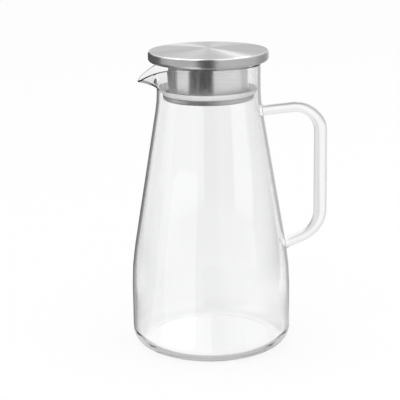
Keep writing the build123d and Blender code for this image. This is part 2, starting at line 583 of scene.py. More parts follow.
def build_brush_lines() -> bpy.types.NodeTree:
    """Build the group of fine lines that run round the axis, as brushing on a turning piece leaves them.

    Returns:
        The group, with the tone of the lines as its output.
    """
    effect = Effect("Brush Lines", {"Fineness": Socket.NUMBER, "Break": Socket.NUMBER}, ["Tone"])
    fineness, line_break = effect.given("Fineness"), effect.given("Break")
    x, y, z = effect.split(effect.get("ShaderNodeTexCoord", {}, "Object"))
    radius = (x.squared() + y.squared()).root()
    length = radius.at_least(WELD_DISTANCE)
    lines = {
        "Vector": effect.vector(radius * fineness, z * fineness, x / length * line_break),
        "W": y / length * line_break, "Scale": 1.0, "Detail": LINE_DETAIL, "Roughness": LINE_ROUGHNESS,
    }
    tone = effect.get("ShaderNodeTexNoise", lines, noise_dimensions="4D")
    effect.put_out("Tone", effect.ramp(tone, LINE_START, LINE_END))
    return effect.tree


@dataclass(frozen=True)
class ClearGlass:
    """Clear, fire-polished glass, whose colour takes a painted grey shade where it is seen edge on."""

    name: str = "blown_glass"
    face_tint: Colour = (0.97, 0.972, 0.972, 1)
    # Painted shade: the grey that the walls take where they are seen edge on.
    painted_edge_shade: Colour = (0.5, 0.52, 0.53, 1)
    edge_start: float = 0.7
    edge_end: float = 0.96
    ior: float = 1.47
    wave_scale: float = 22.0
    wave_stretch: float = 0.5
    wave_depth: float = 0.4 * MM
    wave_strength: float = 0.12

    def make(self, unevenness: bpy.types.NodeTree) -> bpy.types.Material:
        """Make the material.

        Args:
            unevenness: The group of slow waves.

        Returns:
            The material.
        """
        graph = Surface(self.name)
        # Painted shade: the colour greys towards the edge-on walls, standing in for the darker surroundings
        # they show.
        facing = graph.get("ShaderNodeLayerWeight", {}, "Facing")
        edge_shade_share = graph.ramp(facing, self.edge_start, self.edge_end)
        tint = graph.mix_colour(self.face_tint, self.painted_edge_shade, edge_shade_share)
        waves = graph.group(unevenness, {"Scale": self.wave_scale, "Stretch": self.wave_stretch})
        bump = {"Strength": self.wave_strength, "Distance": self.wave_depth, "Height": waves}
        glass = graph.get("ShaderNodeBsdfPrincipled", {
            "Base Color": tint, "Roughness": 0.0, "IOR": self.ior, "Transmission Weight": 1.0,
            "Normal": graph.get("ShaderNodeBump", bump),
        })
        clear = graph.get("ShaderNodeBsdfTransparent", {"Color": tint})
        shadow = graph.get("ShaderNodeLightPath", {}, "Is Shadow Ray")
        return graph.show(graph.get("ShaderNodeMixShader", {0: shadow, 1: glass, 2: clear}))


@dataclass(frozen=True)
class BrushedSteel:
    """Stainless steel with fine lines round the axis. Its rounded upper edge may be polished to a lower
    roughness and given a painted highlight in its colour.

    How far the surface faces up tells where that edge is: edge_start, edge_full, edge_fade and edge_end.
    """

    name: str
    dark: Colour = (0.62, 0.61, 0.61, 1)
    light: Colour = (0.78, 0.77, 0.77, 1)
    roughness: float = 0.33
    roughness_swing: float = 0.08
    anisotropy: float = 0.9
    fineness: float = 5200.0
    line_break: float = 2.0
    groove_depth: float = 0.02 * MM
    groove_strength: float = 0.25
    # The strength of the rounded upper edge: lower roughness from polish, and a painted highlight in the
    # brighter edge colour.
    edge_polish_and_highlight: float = 0.0
    painted_edge_highlight: Colour = (0.9, 0.89, 0.89, 1)
    polished_edge_roughness: float = 0.2
    edge_start: float = 0.05
    edge_full: float = 0.3
    edge_fade: float = 0.93
    edge_end: float = 0.99
    highlight_turn: float = 0.25

    def make(self, brush_lines: bpy.types.NodeTree) -> bpy.types.Material:
        """Make the material.

        Args:
            brush_lines: The group of fine lines.

        Returns:
            The material.
        """
        graph = Surface(self.name)
        tone = graph.group(brush_lines, {"Fineness": self.fineness, "Break": self.line_break})
        groove = {"Strength": self.groove_strength, "Distance": self.groove_depth, "Height": tone}
        lean = graph.split(graph.get("ShaderNodeTexCoord", {}, "Normal"))[2]
        # Painted highlight: the rounded upper edge, found by how far it faces up, takes a brighter colour.
        # Its lower roughness is polish.
        edge = graph.ramp(lean, self.edge_start, self.edge_full)
        edge = edge * graph.ramp(lean, self.edge_fade, self.edge_end, self.edge_polish_and_highlight, 0.0)
        brushed = graph.mix_colour(self.dark, self.light, tone)
        roughness = tone * self.roughness_swing + self.roughness
        steel = graph.get("ShaderNodeBsdfPrincipled", {
            "Base Color": graph.mix_colour(brushed, self.painted_edge_highlight, edge),
            "Metallic": 1.0,
            "Roughness": graph.blend(roughness, self.polished_edge_roughness, edge),
            "Anisotropic": self.anisotropy,
            "Anisotropic Rotation": self.highlight_turn,
            "Tangent": graph.get("ShaderNodeTangent", {}, direction_type="RADIAL", axis="Z"),
            "Normal": graph.get("ShaderNodeBump", groove),
        })
        return graph.show(steel)


@dataclass(frozen=True)
class WhiteSilicone:
    """Satin white silicone that lets a little light in."""

    name: str = "soft_silicone"
    pale: Colour = (0.95, 0.95, 0.94, 1)
    deep: Colour = (0.89, 0.89, 0.88, 1)
    roughness: float = 0.42
    softness: float = 1.0
    light_path: float = 6.0 * MM
    wave_scale: float = 160.0
    wave_depth: float = 0.1 * MM
    wave_strength: float = 0.15

    def make(self, unevenness: bpy.types.NodeTree) -> bpy.types.Material:
        """Make the material.

        Args:
            unevenness: The group of slow waves.

        Returns:
            The material.
        """
        graph = Surface(self.name)
        height = graph.group(unevenness, {"Scale": self.wave_scale, "Stretch": 1.0})
        bump = {"Strength": self.wave_strength, "Distance": self.wave_depth, "Height": height}
        silicone = graph.get("ShaderNodeBsdfPrincipled", {
            "Base Color": graph.mix_colour(self.deep, self.pale, height),
            "Roughness": self.roughness,
            "Subsurface Weight": self.softness,
            "Subsurface Radius": (1.0, 1.0, 1.0),
            "Subsurface Scale": self.light_path,
            "Normal": graph.get("ShaderNodeBump", bump),
        })
        return graph.show(silicone)


def build_spout() -> Shaper:
    """Build the tree that pulls a pouring spout out of a plain round neck.

    The rim follows a round nose with straight flanks and dips towards its tip. Each upright section of the
    wall bends from the foot of the neck to the rim, and thins towards the lip.

    Returns:
        The tree, with the sizes of the neck and the spout as its inputs.
    """
    neck_sizes = ("Neck Radius", "Wall", "Neck Foot", "Rim Height")
    sizes = (*neck_sizes, "Pull", "Drop", "Lip", "Nose Radius", "Dip Run", "Knee")
    spout = Shaper("Pulled Spout", dict.fromkeys(sizes, Socket.NUMBER))
    neck, wall, foot, rim, most_pull, drop, lip, nose, run, knee = map(spout.given, sizes)
    x, y, z = spout.split(spout.get("GeometryNodeInputPosition", {}))
    radius = (x.squared() + y.squared()).root()
    turn = y.math("ARCTAN2", x * -1.0).math("ABSOLUTE")

    nose_centre = neck + most_pull - nose
    flank_turn = ((neck - nose) / nose_centre).math("ARCCOSINE")
    nose_turn = (nose * flank_turn.sine()).math("ARCTAN2", nose_centre + nose * flank_turn.cosine())
    aside = nose_centre * turn.sine()
    round_nose = nose_centre * turn.cosine() + (nose.squared() - aside.squared()).root()
    flank = neck / (flank_turn - turn).cosine()
    reach = spout.blend(neck, spout.blend(flank, round_nose, turn < nose_turn), turn < flank_turn)
    pull = reach - neck

    dip_radius = (run.squared() + drop.squared()) / (drop * 2.0)
    past_start = (reach * turn.cosine() - (neck + most_pull - run)).at_least(0.0)
    crest = rim - dip_radius + (dip_radius.squared() - past_start.squared()).root()

    half_lip = (wall + (lip - wall) * pull / most_pull) / 2.0
    climb = (1.0 - knee) * (crest - foot)
    slope = (pull.squared() + climb.squared()).root()
    lean_sine, lean_cosine = pull / slope, climb / slope
    middle = neck - wall / 2.0
    end_radius = reach - half_lip * (lean_cosine + lean_sine)
    end_height = crest - half_lip * lean_cosine
    knee_height = foot + knee * (end_height - half_lip * lean_sine - foot)
    knee_height = knee_height + wall / 2.0 * lean_sine / (1.0 + lean_cosine)

    cap_height = rim - wall / 2.0
    share = ((z - foot) / (cap_height - foot)).at_least(0.0).at_most(1.0)
    rest = 1.0 - share
    line_radius = middle + share.squared() * (end_radius - middle)
    line_height = rest.squared() * foot + 2.0 * rest * share * knee_height + share.squared() * end_height
    step_out = share * (end_radius - middle)
    step_up = rest * (knee_height - foot) + share * (end_height - knee_height)
    step = (step_out.squared() + step_up.squared()).root()
    out, up = step_out / step, step_up / step
    thinning = 1.0 + share * (half_lip * 2.0 / wall - 1.0)
    across = (radius - middle) * thinning
    beyond = (z - cap_height).at_least(0.0) * thinning
    new_radius = line_radius + up * across + out * beyond
    new_height = line_height - out * across + up * beyond
    pulled = spout.vector(x / radius * new_radius, y / radius * new_radius, new_height)
    move = {"Geometry": spout.given("Geometry"), "Selection": z > foot, "Position": pulled}
    spout.close(spout.get("GeometryNodeSetPosition", move))
    return spout


def build_rod() -> Shaper:
    """Build the tree that draws a rod of changing thickness along a path and trims it to the jug.

    Returns:
        The tree, with the sizes of the rod and the trimming form as its inputs.
    """
    bends = ("Upper Bend", "Lower Bend")
    runs = ("Pad Run", "Upper Corner", "Upper Grip", "Lower Grip", "Lower Corner")
    sections = ("Pad Depth", "Pad Width", "Arm Depth", "Arm Width", "Grip Depth", "Grip Width")
    sizes = dict.fromkeys([*bends, *runs, *sections, "Spacing"], Socket.NUMBER)
    rod = Shaper("Handle Rod", {**sizes, "Sides": Socket.COUNT, "Jug": Socket.OBJECT})
    index = rod.get("GeometryNodeInputIndex", {})
    radius = rod.blend(rod.given("Upper Bend"), rod.given("Lower Bend"), index > 1)
    corners = {"Curve": rod.given("Geometry"), "Count": BEND_POINTS, "Radius": radius, "Limit Radius": True}
    bent = rod.get("GeometryNodeFilletCurve", corners, mode="POLY")
    even = {"Curve": bent, "Length": rod.given("Spacing")}
    path = rod.get("GeometryNodeResampleCurve", even, mode="LENGTH")

    along = rod.get("GeometryNodeSplineParameter", {}, "Length")
    whole = rod.get("GeometryNodeSplineLength", {}, "Length")
    from_end = along.at_most(whole - along)
    flare = rod.ramp(from_end, 0.0, rod.given("Pad Run"), 1.0, 0.0)
    grip = rod.ramp(along, rod.given("Upper Corner"), rod.given("Upper Grip"))
    grip = grip * rod.ramp(along, rod.given("Lower Grip"), rod.given("Lower Corner"), 1.0, 0.0)
    depth = rod.blend(rod.given("Arm Depth"), rod.given("Grip Depth"), grip)
    depth = rod.blend(depth, rod.given("Pad Depth"), flare)
    width = rod.blend(rod.given("Arm Width"), rod.given("Grip Width"), grip)
    width = rod.blend(width, rod.given("Pad Width"), flare)

    keep = rod.tree.nodes.new("GeometryNodeCaptureAttribute")
    keep.capture_items.new("FLOAT", "Flatness")
    rod.plug(path, keep.inputs["Geometry"])
    rod.plug(width / depth, keep.inputs["Flatness"])
    line = Field(rod, keep.outputs["Geometry"])
    ring = rod.get("GeometryNodeCurvePrimitiveCircle", {"Resolution": rod.given("Sides"), "Radius": 1.0})
    tube = {"Curve": line, "Profile Curve": ring, "Scale": depth / 2.0, "Fill Caps": True}
    round_rod = rod.get("GeometryNodeCurveToMesh", tube)
    x, y, z = rod.split(rod.get("GeometryNodeInputPosition", {}))
    oval = rod.vector(x, y * Field(rod, keep.outputs["Flatness"]), z)
    flat_rod = rod.get("GeometryNodeSetPosition", {"Geometry": round_rod, "Position": oval})
    jug = rod.get("GeometryNodeObjectInfo", {"Object": rod.given("Jug")}, "Geometry")
    rod.close(rod.smooth(rod.cut(flat_rod, jug)))
    return rod


@dataclass(frozen=True)
class GlassJug:
    """The blown jug with its pulled spout, and the handle fused to it."""

    wall: float = 2.3 * MM
    base_thickness: float = 4.0 * MM
    base_corner: float = 14.0 * MM
    bend_height: float = 70.0 * MM
    bend_radius: float = 215.0 * MM
    cone_height: float = 146.0 * MM
    neck_radius: float = 44.3 * MM
    shoulder_radius: float = 105.0 * MM
    neck_straight: float = 1.2 * MM
    spout_pull: float = 16.5 * MM
    spout_drop: float = 13.1 * MM
    spout_lip: float = 1.6 * MM
    nose_radius: float = 8.3 * MM
    dip_run: float = 34.0 * MM
    flare_knee: float = 0.5
    handle_standoff: float = 29.7 * MM
    handle_drop: float = 8.6 * MM
    handle_foot_rise: float = 25.4 * MM
    upper_tilt: float = math.radians(3.5)
    lower_tilt: float = math.radians(20.0)
    upper_bend: float = 23.0 * MM
    lower_bend: float = 25.0 * MM
    grip_depth: float = 11.4 * MM
    grip_width: float = 11.8 * MM
    arm_depth: float = 8.7 * MM
    arm_width: float = 10.6 * MM
    pad_depth: float = 11.6 * MM
    pad_width: float = 12.6 * MM
    pad_length: float = 4.0 * MM
    fused_gap: float = 0.05 * MM
    neck_stations: int = 26
    rim_stations: int = 10
    segments: int = 288
    evenness: float = 0.35
    rod_sides: int = 48
    rod_spacing: float = 1.2 * MM
    finish: ClearGlass = ClearGlass()

    @property
    def body_radius(self) -> float:
        """The outer radius of the lower wall, from the frame."""
        return JUG.box[1].x

    @property
    def rim_height(self) -> float:
        """The height of the rim, from the frame."""
        return JUG.box[1].z

    @property
    def cone_angle(self) -> float:
        """The lean of the cone."""
        return math.atan2(self.body_radius - self.neck_radius, self.cone_height)

    @property
    def shoulder_height(self) -> float:
        """The height where cone and neck would meet without their fillet."""
        return self.bend_height + self.cone_height

    @property
    def neck_foot(self) -> float:
        """The height where the plain neck starts."""
        fillet_run = self.shoulder_radius * math.tan(self.cone_angle / 2)
        return self.shoulder_height + fillet_run + self.neck_straight

    def outline(self, inset: float, floor: float, corner: float) -> list[Corner]:
        """Draw the body's half outline.

        Args:
            inset: How far it lies inside the outer face.
            floor: The height of its flat bottom.
            corner: The fillet at the foot of the wall.

        Returns:
            Its corners, from the axis up to the foot of the neck.
        """
        lowering = inset * math.tan(self.cone_angle / 2)
        wide, narrow = self.body_radius - inset, self.neck_radius - inset
        return [
            Corner(0, floor),
            Corner(wide, floor, corner),
            Corner(wide, self.bend_height - lowering, self.bend_radius - inset),
            Corner(narrow, self.shoulder_height - lowering, self.shoulder_radius + inset),
            Corner(narrow, self.neck_foot),
        ]

    def rim(self) -> list[Corner]:
        """Return the plain neck and its rounded rim, from the outer foot over the top to the inner foot."""
        half = self.wall / 2
        middle, cap = self.neck_radius - half, self.rim_height - half
        climb = [self.neck_foot + (cap - self.neck_foot) * step / self.neck_stations
                 for step in range(1, self.neck_stations)]
        turns = [math.pi * step / self.rim_stations for step in range(self.rim_stations + 1)]
        outer = [Corner(middle + half, height) for height in climb]
        over = [Corner(middle + half * math.cos(turn), cap + half * math.sin(turn)) for turn in turns]
        inner = [Corner(middle - half, height) for height in reversed(climb)]
        return outer + over + inner

    def build_body(self, turner: Turner, glass: bpy.types.Material) -> None:
        """Turn the jug and pull its spout.

        Args:
            turner: The lathe.
            glass: The glass.
        """
        outside = self.outline(0, 0, self.base_corner)
        inside = self.outline(self.wall, self.base_thickness, self.base_corner - self.wall)
        corners = [*outside, *self.rim(), *reversed(inside)]
        curve = turner.profile("jug_profile", corners, False, glass, self.segments, self.evenness)
        build_spout().put_on(curve, {
            "Neck Radius": self.neck_radius, "Wall": self.wall,
            "Neck Foot": self.neck_foot, "Rim Height": self.rim_height,
            "Pull": self.spout_pull, "Drop": self.spout_drop, "Lip": self.spout_lip,
            "Nose Radius": self.nose_radius, "Dip Run": self.dip_run, "Knee": self.flare_knee,
            "Material": glass,
        })
        JUG.hand_over(curve)

    def arm_end(self, corner: Vector, tilt: float) -> Vector:
        """Find the end of an arm of the handle.

        Args:
            corner: The corner of the handle's centre line that the arm starts from.
            tilt: How far the arm falls towards the jug.

        Returns:
            The end of its centre line, one wall thickness inside the glass.
        """
        slope, taper = math.tan(tilt), math.tan(self.cone_angle)
        rise = self.shoulder_height - corner.y + corner.x * slope
        radius = (self.neck_radius + rise * taper) / (1 + slope * taper) - self.wall
        return Vector((radius, corner.y - (corner.x - radius) * slope))

    def build_handle(self, turner: Turner, glass: bpy.types.Material) -> None:
        """Draw the handle and trim it to the outside of the jug.

        Args:
            turner: The lathe.
            glass: The glass.
        """
        reach = self.body_radius + self.handle_standoff
        upper = Vector((reach, self.shoulder_height - self.handle_drop))
        lower = Vector((reach, self.bend_height + self.handle_foot_rise))
        start, end = self.arm_end(upper, self.upper_tilt), self.arm_end(lower, self.lower_tilt)
        upper_turn = math.pi / 2 + self.upper_tilt
        lower_turn = math.pi / 2 - self.lower_tilt
        upper_trim = self.upper_bend * math.tan(upper_turn / 2)
        lower_trim = self.lower_bend * math.tan(lower_turn / 2)
        upper_corner = (upper - start).length - upper_trim
        upper_grip = upper_corner + self.upper_bend * upper_turn
        lower_grip = upper_grip + (upper - lower).length - upper_trim - lower_trim
        lower_corner = lower_grip + self.lower_bend * lower_turn

        form = self.outline(-self.fused_gap, -self.fused_gap, self.base_corner)
        core = turner.profile("jug_form", [*form, Corner(0, self.neck_foot)], False, glass)
        curve = make_curve("handle_path", [start, upper, lower, end])
        build_rod().put_on(curve, {
            "Upper Bend": self.upper_bend, "Lower Bend": self.lower_bend,
            "Pad Run": self.wall + self.pad_length,
            "Upper Corner": upper_corner, "Upper Grip": upper_grip,
            "Lower Grip": lower_grip, "Lower Corner": lower_corner,
            "Pad Depth": self.pad_depth, "Pad Width": self.pad_width,
            "Arm Depth": self.arm_depth, "Arm Width": self.arm_width,
            "Grip Depth": self.grip_depth, "Grip Width": self.grip_width,
            "Sides": self.rod_sides, "Spacing": self.rod_spacing,
            "Jug": core, "Material": glass,
        })
        HANDLE.hand_over(curve)
        bpy.data.objects.remove(core)

    def build(self, turner: Turner, unevenness: bpy.types.NodeTree) -> None:
        """Build the jug and its handle.

        Args:
            turner: The lathe.
            unevenness: The group of slow waves.
        """
        glass = self.finish.make(unevenness)
        self.build_body(turner, glass)
        self.build_handle(turner, glass)


def build_strainer() -> Shaper:
    """Build the tree that cuts a row of upright slots through a tube.

    Returns:
        The tree, with the count and the sizes of the slots as its inputs.
    """
    sizes = ("Pitch", "Slot Width", "Slot Height", "Middle Height", "Inner Reach", "Outer Reach")
    strainer = Shaper("Strainer Slots", {"Count": Socket.COUNT, **dict.fromkeys(sizes, Socket.NUMBER)})
    pitch, width, height, middle, inner, outer = map(strainer.given, sizes)
    count = strainer.given("Count")
    plate = strainer.get("GeometryNodeCurvePrimitiveQuadrilateral", {"Width": width, "Height": height})
    ends = {"Curve": plate, "Count": SLOT_END_POINTS, "Radius": width / 2.0, "Limit Radius": True}
    slot = strainer.get("GeometryNodeFilletCurve", ends, mode="POLY")
    line = {"Start": strainer.vector(inner, 0.0, middle), "End": strainer.vector(outer, 0.0, middle)}
    path = strainer.get("GeometryNodeCurvePrimitiveLine", line)
    bar = {"Curve": path, "Profile Curve": slot, "Fill Caps": True}
    cutter = strainer.get("GeometryNodeCurveToMesh", bar)
    points = strainer.get("GeometryNodePoints", {"Count": count})
    index = strainer.get("GeometryNodeInputIndex", {})
    heading = (index - (count - 1.0) / 2.0) * pitch + math.pi
    turn = strainer.get("FunctionNodeEulerToRotation", {"Euler": strainer.vector(0.0, 0.0, heading)})
    row = {"Points": points, "Instance": cutter, "Rotation": turn}
    placed = strainer.get("GeometryNodeInstanceOnPoints", row)
    cutters = strainer.get("GeometryNodeRealizeInstances", {"Geometry": placed})
    strainer.close(strainer.smooth(strainer.cut(strainer.given("Geometry"), cutters)))
    return strainer


@dataclass(frozen=True)
class SteelLid:
    """The steel lid: pressed cap, base plate, slotted collar and channel ring."""

    edge_height: float = 9.0 * MM
    top_round: float = 1.8 * MM
    under_round: float = 3.2 * MM
    curl: float = 1.6 * MM
    sheet: float = 0.8 * MM
    plate_round: float = 0.2 * MM
    collar_sheet: float = 0.7 * MM
    ring_sheet: float = 0.7 * MM
    ring_top_round: float = 0.9 * MM
    ring_under_round: float = 2.4 * MM
    weld_gap: float = 0.05 * MM
    slot_count: int = 7
    slot_pitch: float = math.radians(8.6)
    slot_width: float = 2.2 * MM
    slot_height: float = 15.5 * MM
    slot_rise: float = 12.6 * MM
    crown_stations: int = 16
    # The cap's rounded upper edge gets a painted highlight in its colour, and a polished roughness.
    cap_finish: BrushedSteel = BrushedSteel("cap_steel", edge_polish_and_highlight=1.0)
    collar_finish: BrushedSteel = BrushedSteel("collar_steel", roughness=0.3, anisotropy=0.95)
    ring_finish: BrushedSteel = BrushedSteel(
        "ring_steel", dark=(0.5, 0.49, 0.49, 1), light=(0.64, 0.63, 0.63, 1), roughness=0.5, anisotropy=0.5,
    )

    def crown(self, radius: float, edge: float, top: float) -> list[Corner]:
        """Return the low crown of the cap, from the edge to the axis, without the edge itself."""
        shares = [1 - step / self.crown_stations for step in range(1, self.crown_stations + 1)]
        return [Corner(radius * share, edge + (top - edge) * (1 - share * share)) for share in shares]

    def build_cap(self, turner: Turner, steel: bpy.types.Material) -> None:
        """Turn the pressed cap with its curled lower edge.

        Args:
            turner: The lathe.
            steel: The steel.
        """
        low, high = CAP.box
        edge = low.z + self.edge_height
        opening = high.x - self.under_round - self.curl
        inner = high.x - self.sheet
        outside = [
            Corner(opening, low.z),
            Corner(high.x, low.z, self.under_round),
            Corner(high.x, edge, self.top_round),
            *self.crown(high.x, edge, high.z),
        ]
        inside = [
            *reversed(self.crown(inner, edge - self.sheet, high.z - self.sheet)),
            Corner(inner, edge - self.sheet, self.top_round - self.sheet),
            Corner(inner, low.z + self.sheet, self.under_round - self.sheet),
            Corner(opening, low.z + self.sheet),
            Corner(opening, low.z),
        ]
        CAP.hand_over(turner.profile("cap_profile", outside + inside, False, steel))

    def build_plate(self, turner: Turner, steel: bpy.types.Material) -> None:
        """Turn the flat plate that closes the cap from below.

        Args:
            turner: The lathe.
            steel: The steel.
        """
        low, high = PLATE.box
        corners = [
            Corner(0, low.z),
            Corner(high.x, low.z, self.plate_round),
            Corner(high.x, high.z, self.plate_round),
            Corner(0, high.z),
        ]
        PLATE.hand_over(turner.profile("plate_profile", corners, False, steel))

    def build_collar(self, turner: Turner, steel: bpy.types.Material) -> None:
        """Turn the collar and cut the strainer slots on the side of the spout.

        Args:
            turner: The lathe.
            steel: The steel.
        """
        low, high = COLLAR.box
        inner = high.x - self.collar_sheet
        corners = [
            Corner(high.x, low.z),
            Corner(high.x, high.z),
            Corner(inner, high.z),
            Corner(inner, low.z),
        ]
        curve = turner.profile("collar_profile", corners, True, steel)
        build_strainer().put_on(curve, {
            "Count": self.slot_count, "Pitch": self.slot_pitch,
            "Slot Width": self.slot_width, "Slot Height": self.slot_height,
            "Middle Height": low.z + self.slot_rise + self.slot_height / 2,
            "Inner Reach": inner - self.collar_sheet, "Outer Reach": high.x + self.collar_sheet,
            "Material": steel,
        })
        COLLAR.hand_over(curve)

    def build_ring(self, turner: Turner, steel: bpy.types.Material) -> None:
        """Turn the channel ring round the foot of the collar.

        Args:
            turner: The lathe.
            steel: The steel.
        """
        low, high = RING.box
        inside = COLLAR.box[1].x + self.weld_gap
        sheet = self.ring_sheet
        corners = [
            Corner(inside, low.z),
            Corner(high.x, low.z, self.ring_under_round),
            Corner(high.x, high.z, self.ring_top_round),
            Corner(inside, high.z),
            Corner(inside, high.z - sheet),
            Corner(high.x - sheet, high.z - sheet, self.ring_top_round - sheet),
            Corner(high.x - sheet, low.z + sheet, self.ring_under_round - sheet),
            Corner(inside, low.z + sheet),
        ]
        RING.hand_over(turner.profile("ring_profile", corners, True, steel))

    def build(self, turner: Turner, brush_lines: bpy.types.NodeTree) -> None:
        """Build the four pieces of the lid.

        Args:
            turner: The lathe.
            brush_lines: The group of fine lines.
        """
        cap_steel = self.cap_finish.make(brush_lines)
        self.build_cap(turner, cap_steel)
        self.build_plate(turner, cap_steel)
        self.build_collar(turner, self.collar_finish.make(brush_lines))
        self.build_ring(turner, self.ring_finish.make(brush_lines))


@dataclass(frozen=True)
class SealRing:
    """The soft ring whose lip flares out and up to the glass."""

    play: float = 0.3 * MM
    foot_height: float = 2.6 * MM
    foot_inset: float = 0.6 * MM
    groove_height: float = 1.7 * MM
    groove_inset: float = 1.3 * MM
    lip_thickness: float = 1.3 * MM
    land: float = 1.0 * MM
    edge_round: float = 0.3 * MM
    finish: WhiteSilicone = WhiteSilicone()

    def build(self, turner: Turner, unevenness: bpy.types.NodeTree) -> None:
        """Turn the seal.

        Args:
            turner: The lathe.
            unevenness: The group of slow waves.
        """
        low, high = SEAL.box
        inside = COLLAR.box[1].x + self.play
        foot = RING.box[1].x - self.foot_inset
        spots = [
            (inside, low.z),
            (foot, low.z),
            (high.x, high.z - self.land),
            (high.x, high.z),
            (high.x - self.lip_thickness, high.z),
            (inside + self.groove_inset, low.z + self.groove_height),
            (inside, low.z + self.foot_height),
        ]
        corners = [Corner(radius, height, self.edge_round) for radius, height in spots]
        SEAL.hand_over(turner.profile("seal_profile", corners, True, self.finish.make(unevenness)))


@dataclass(frozen=True)
class Zone:
    """A stretch of the studio's surround that starts at a heading and shows one tone."""

    start: float
    tone: float
    blur: float = 6.0


@dataclass(frozen=True)
class Surround:
    """What stands round the object, as its mirrors and its glass show it.

    Mirror is what a mirror in the open shows, Edge and Deep what one behind a few or many walls of glass
    shows, and Backdrop what glass alone shows. Headings are in degrees, from the camera's side towards its
    right hand.
    """

    camera_side: float = -100.4
    mirror_back: float = 0.9
    mirror_zones: tuple[Zone, ...] = (
        Zone(-165, 0.1), Zone(-100, 0.7), Zone(-57, 0.05), Zone(-31, 0.2, 3.0), Zone(-27, 0.04, 3.0),
        Zone(13, 0.64, 4.0), Zone(105, 0.42, 20.0), Zone(150, 0.75, 20.0),
    )
    mirror_overhead: float = 0.85
    overhead_zones: tuple[Zone, ...] = (Zone(-22, 0.25, 8.0), Zone(14, 0.85, 8.0))
    zenith_start: float = 0.9
    zenith_end: float = 0.98
    edge_back: float = 0.3
    edge_zones: tuple[Zone, ...] = (
        Zone(-145, 0.6, 20.0), Zone(-75, 0.1, 20.0), Zone(25, 0.7, 10.0), Zone(140, 0.5, 20.0),
    )
    backdrop_back: float = 1.0
    backdrop_zones: tuple[Zone, ...] = (
        Zone(-163, 0.85, 10.0), Zone(-40, 0.97, 30.0), Zone(40, 0.79, 30.0), Zone(163, 1.0, 10.0),
    )
    backdrop_overhead: float = 0.95
    overhead_start: float = 0.2
    overhead_end: float = 0.42
    glare_back: float = 0.0
    glare_zones: tuple[Zone, ...] = (
        Zone(-130, 1.1, 30.0), Zone(-20, 0.1, 16.0), Zone(30, 0.6, 30.0), Zone(115, 0.0, 30.0),
    )
    glare_start: float = 0.5
    glare_end: float = 0.75
    deep_gain: float = 2.0

    def spread(self, graph: Graph, heading: Field, back: float, zones: Sequence[Zone]) -> Field:
        """Spread zones round the object.

        Args:
            graph: The group to add to.
            heading: The heading to look along.
            back: The tone behind the object, from where the zones start.
            zones: The zones in the order of their headings.

        Returns:
            The tone at that heading.
        """
        tone: Field | float = back
        for zone in zones:
            share = graph.ramp(heading, zone.start - zone.blur / 2, zone.start + zone.blur / 2)
            tone = graph.blend(tone, zone.tone, share)
        return tone

    def build(self) -> bpy.types.NodeTree:
        """Build the group.

        Returns:
            The group, which takes a direction from the object and gives what lies there.
        """
        outputs = ("Mirror", "Deep", "Edge", "Backdrop")
        graph = Effect("Studio Surround", {"Direction": Socket.VECTOR}, outputs)
        x, y, z = graph.split(graph.given("Direction"))
        side = math.radians(self.camera_side)
        towards = x * math.cos(side) + y * math.sin(side)
        right = y * math.cos(side) - x * math.sin(side)
        heading = right.math("ARCTAN2", towards).math("DEGREES")
        length = (x.squared() + y.squared() + z.squared()).root()
        overhead = graph.ramp(z / length, self.overhead_start, self.overhead_end)
        high = graph.ramp(z / length, self.glare_start, self.glare_end)
        glare = self.spread(graph, heading, self.glare_back, self.glare_zones) * high
        mirror = self.spread(graph, heading, self.mirror_back, self.mirror_zones)
        flagged = self.spread(graph, heading, self.mirror_overhead, self.overhead_zones)
        zenith = graph.ramp(z / length, self.zenith_start, self.zenith_end)
        above = graph.blend(flagged, self.mirror_overhead, zenith) + glare
        edge = self.spread(graph, heading, self.edge_back, self.edge_zones)
        backdrop = self.spread(graph, heading, self.backdrop_back, self.backdrop_zones)
        graph.put_out("Mirror", graph.blend(mirror, above, overhead))
        graph.put_out("Deep", mirror * self.deep_gain)
        graph.put_out("Edge", edge)
        graph.put_out("Backdrop", graph.blend(backdrop, self.backdrop_overhead, overhead))
        return graph.tree


@dataclass(frozen=True)
class Shares:
    """The share of the surround's tone in what a ray ends on, by the way that the ray came.

    Open is for a mirror in the open or behind many walls of glass, walls for one behind a few walls, and
    behind for glass alone.
    """

    open: Field | float
    walls: Field | float
    behind: Field | float


@dataclass(frozen=True)
class Panel:
    """An upright panel that only reflections show, and that may cast its tone on the floor before it.

    Its heading and half its spread are in degrees, from the camera's side towards its right hand. Its tone
    fades in over a share of its left half.
    """

    name: str
    heading: float
    half_spread: float
    distance: float
    height: float
    tone: float
    fade: float
    on_floor: bool = True


